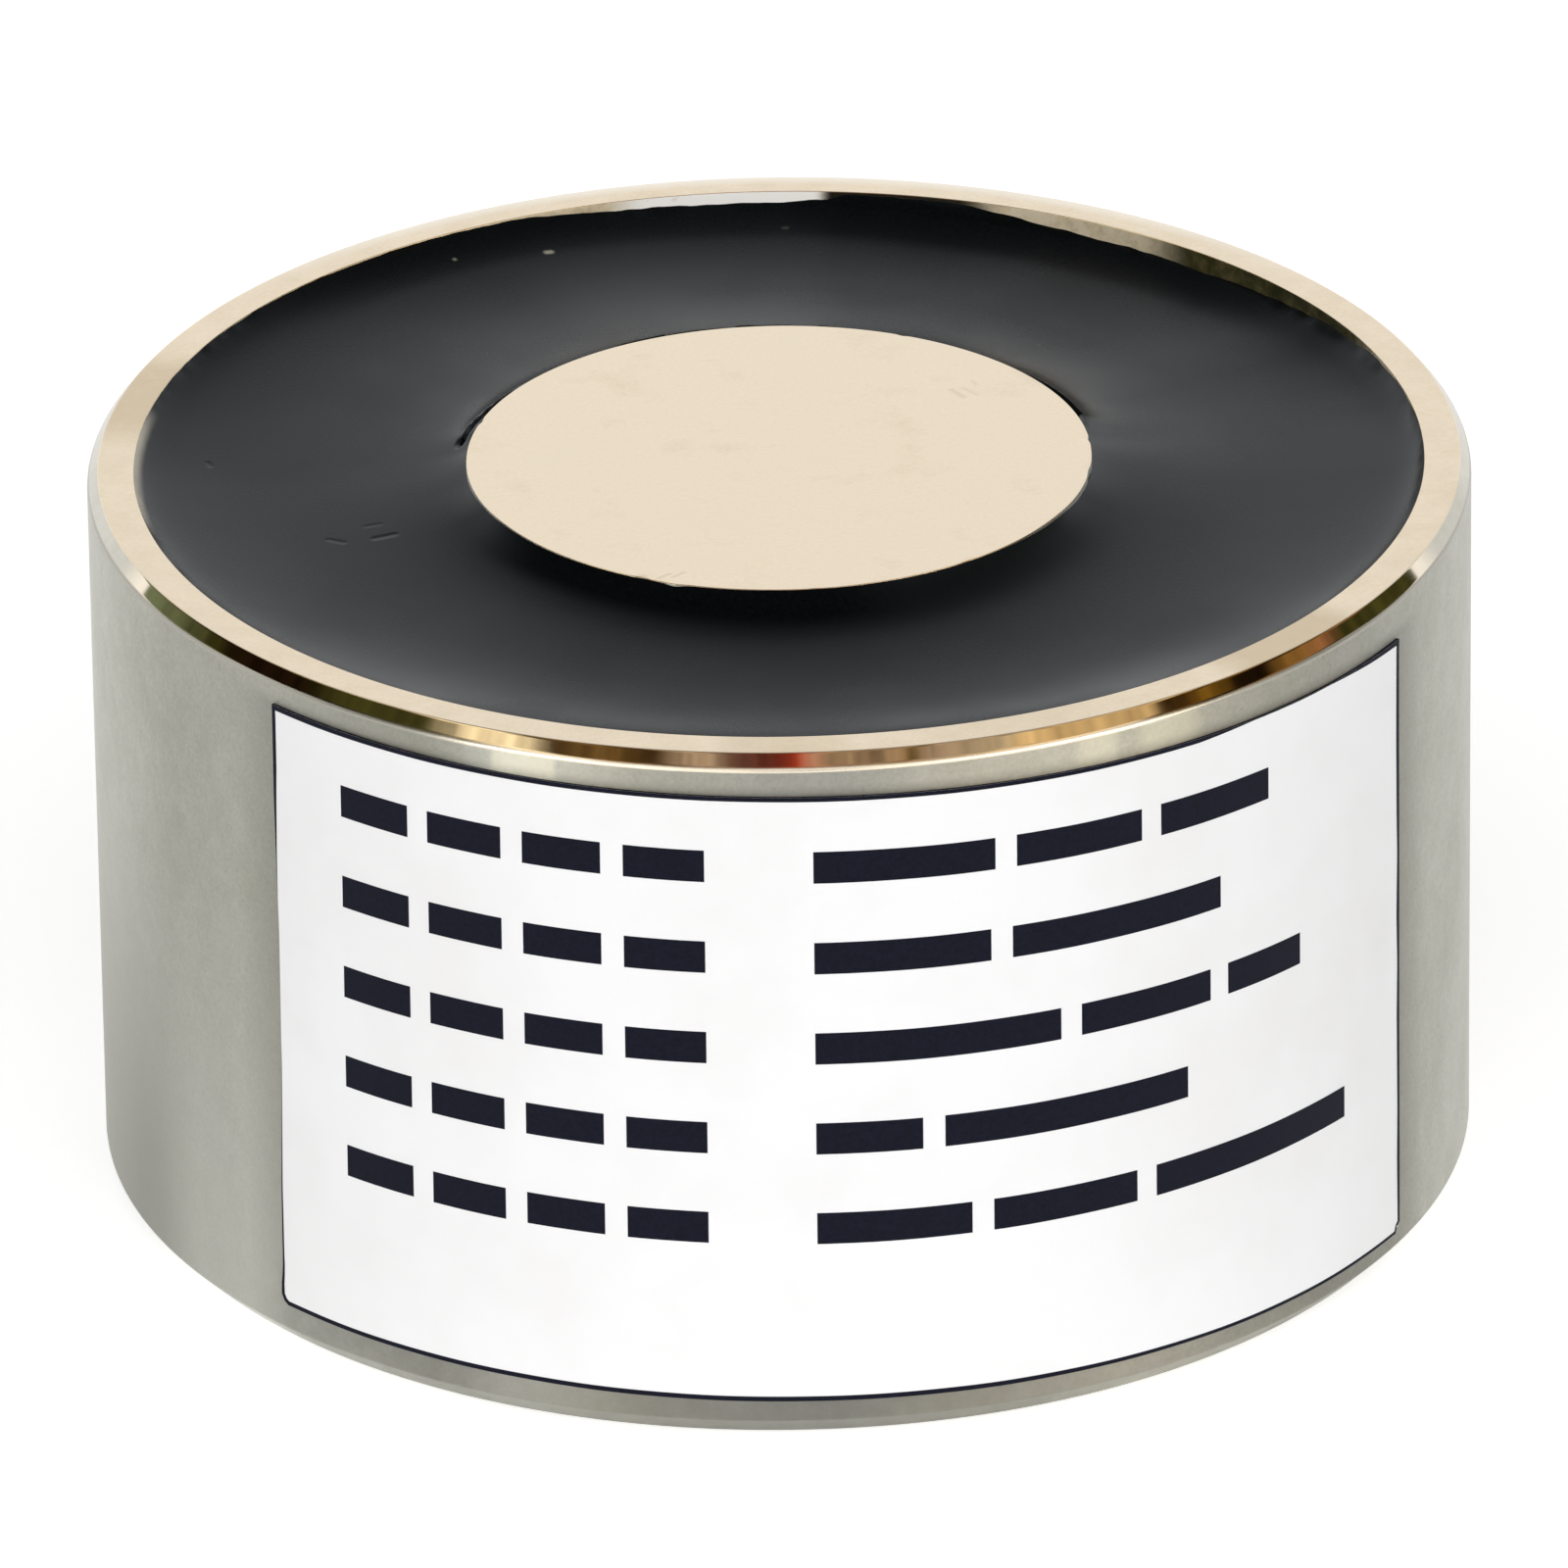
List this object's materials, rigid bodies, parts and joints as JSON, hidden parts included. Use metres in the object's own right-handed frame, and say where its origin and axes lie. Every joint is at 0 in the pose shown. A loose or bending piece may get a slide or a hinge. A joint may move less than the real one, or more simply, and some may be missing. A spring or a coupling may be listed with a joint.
{
  "type": "holding electromagnet",
  "caption": "Round pot holding electromagnet: nickel-plated steel cup and centre pole, resin-potted coil, threaded back mount and side lead outlet.",
  "frame": {"origin": "centre of the mounting face, on the pot's axis", "axes": "+Z along the pot's axis, from the mounting face to the pole face; -Y to the middle of the label; +Y to the lead outlet"},
  "size_m": [0.05, 0.0501, 0.027],
  "materials": {
    "nickel_pot": "satin nickel plating with bright chamfers",
    "nickel_pole": "fine ground nickel plating",
    "nylon": "moulded",
    "copper_wire": "enamelled wire",
    "film_tape": "polyester film",
    "black_resin": "cast, slightly glossy",
    "black_rubber": "matte",
    "white_paper": "smooth label paper"
  },
  "bodies": {
    "root": {"pot_shell": "nickel_pot", "pole_core": "nickel_pole", "coil_bobbin": "nylon", "coil_winding": "copper_wire", "coil_tape": "film_tape", "potting_resin": "black_resin", "lead_bush": "black_rubber", "label": "white_paper"}
  },
  "joints": []
}
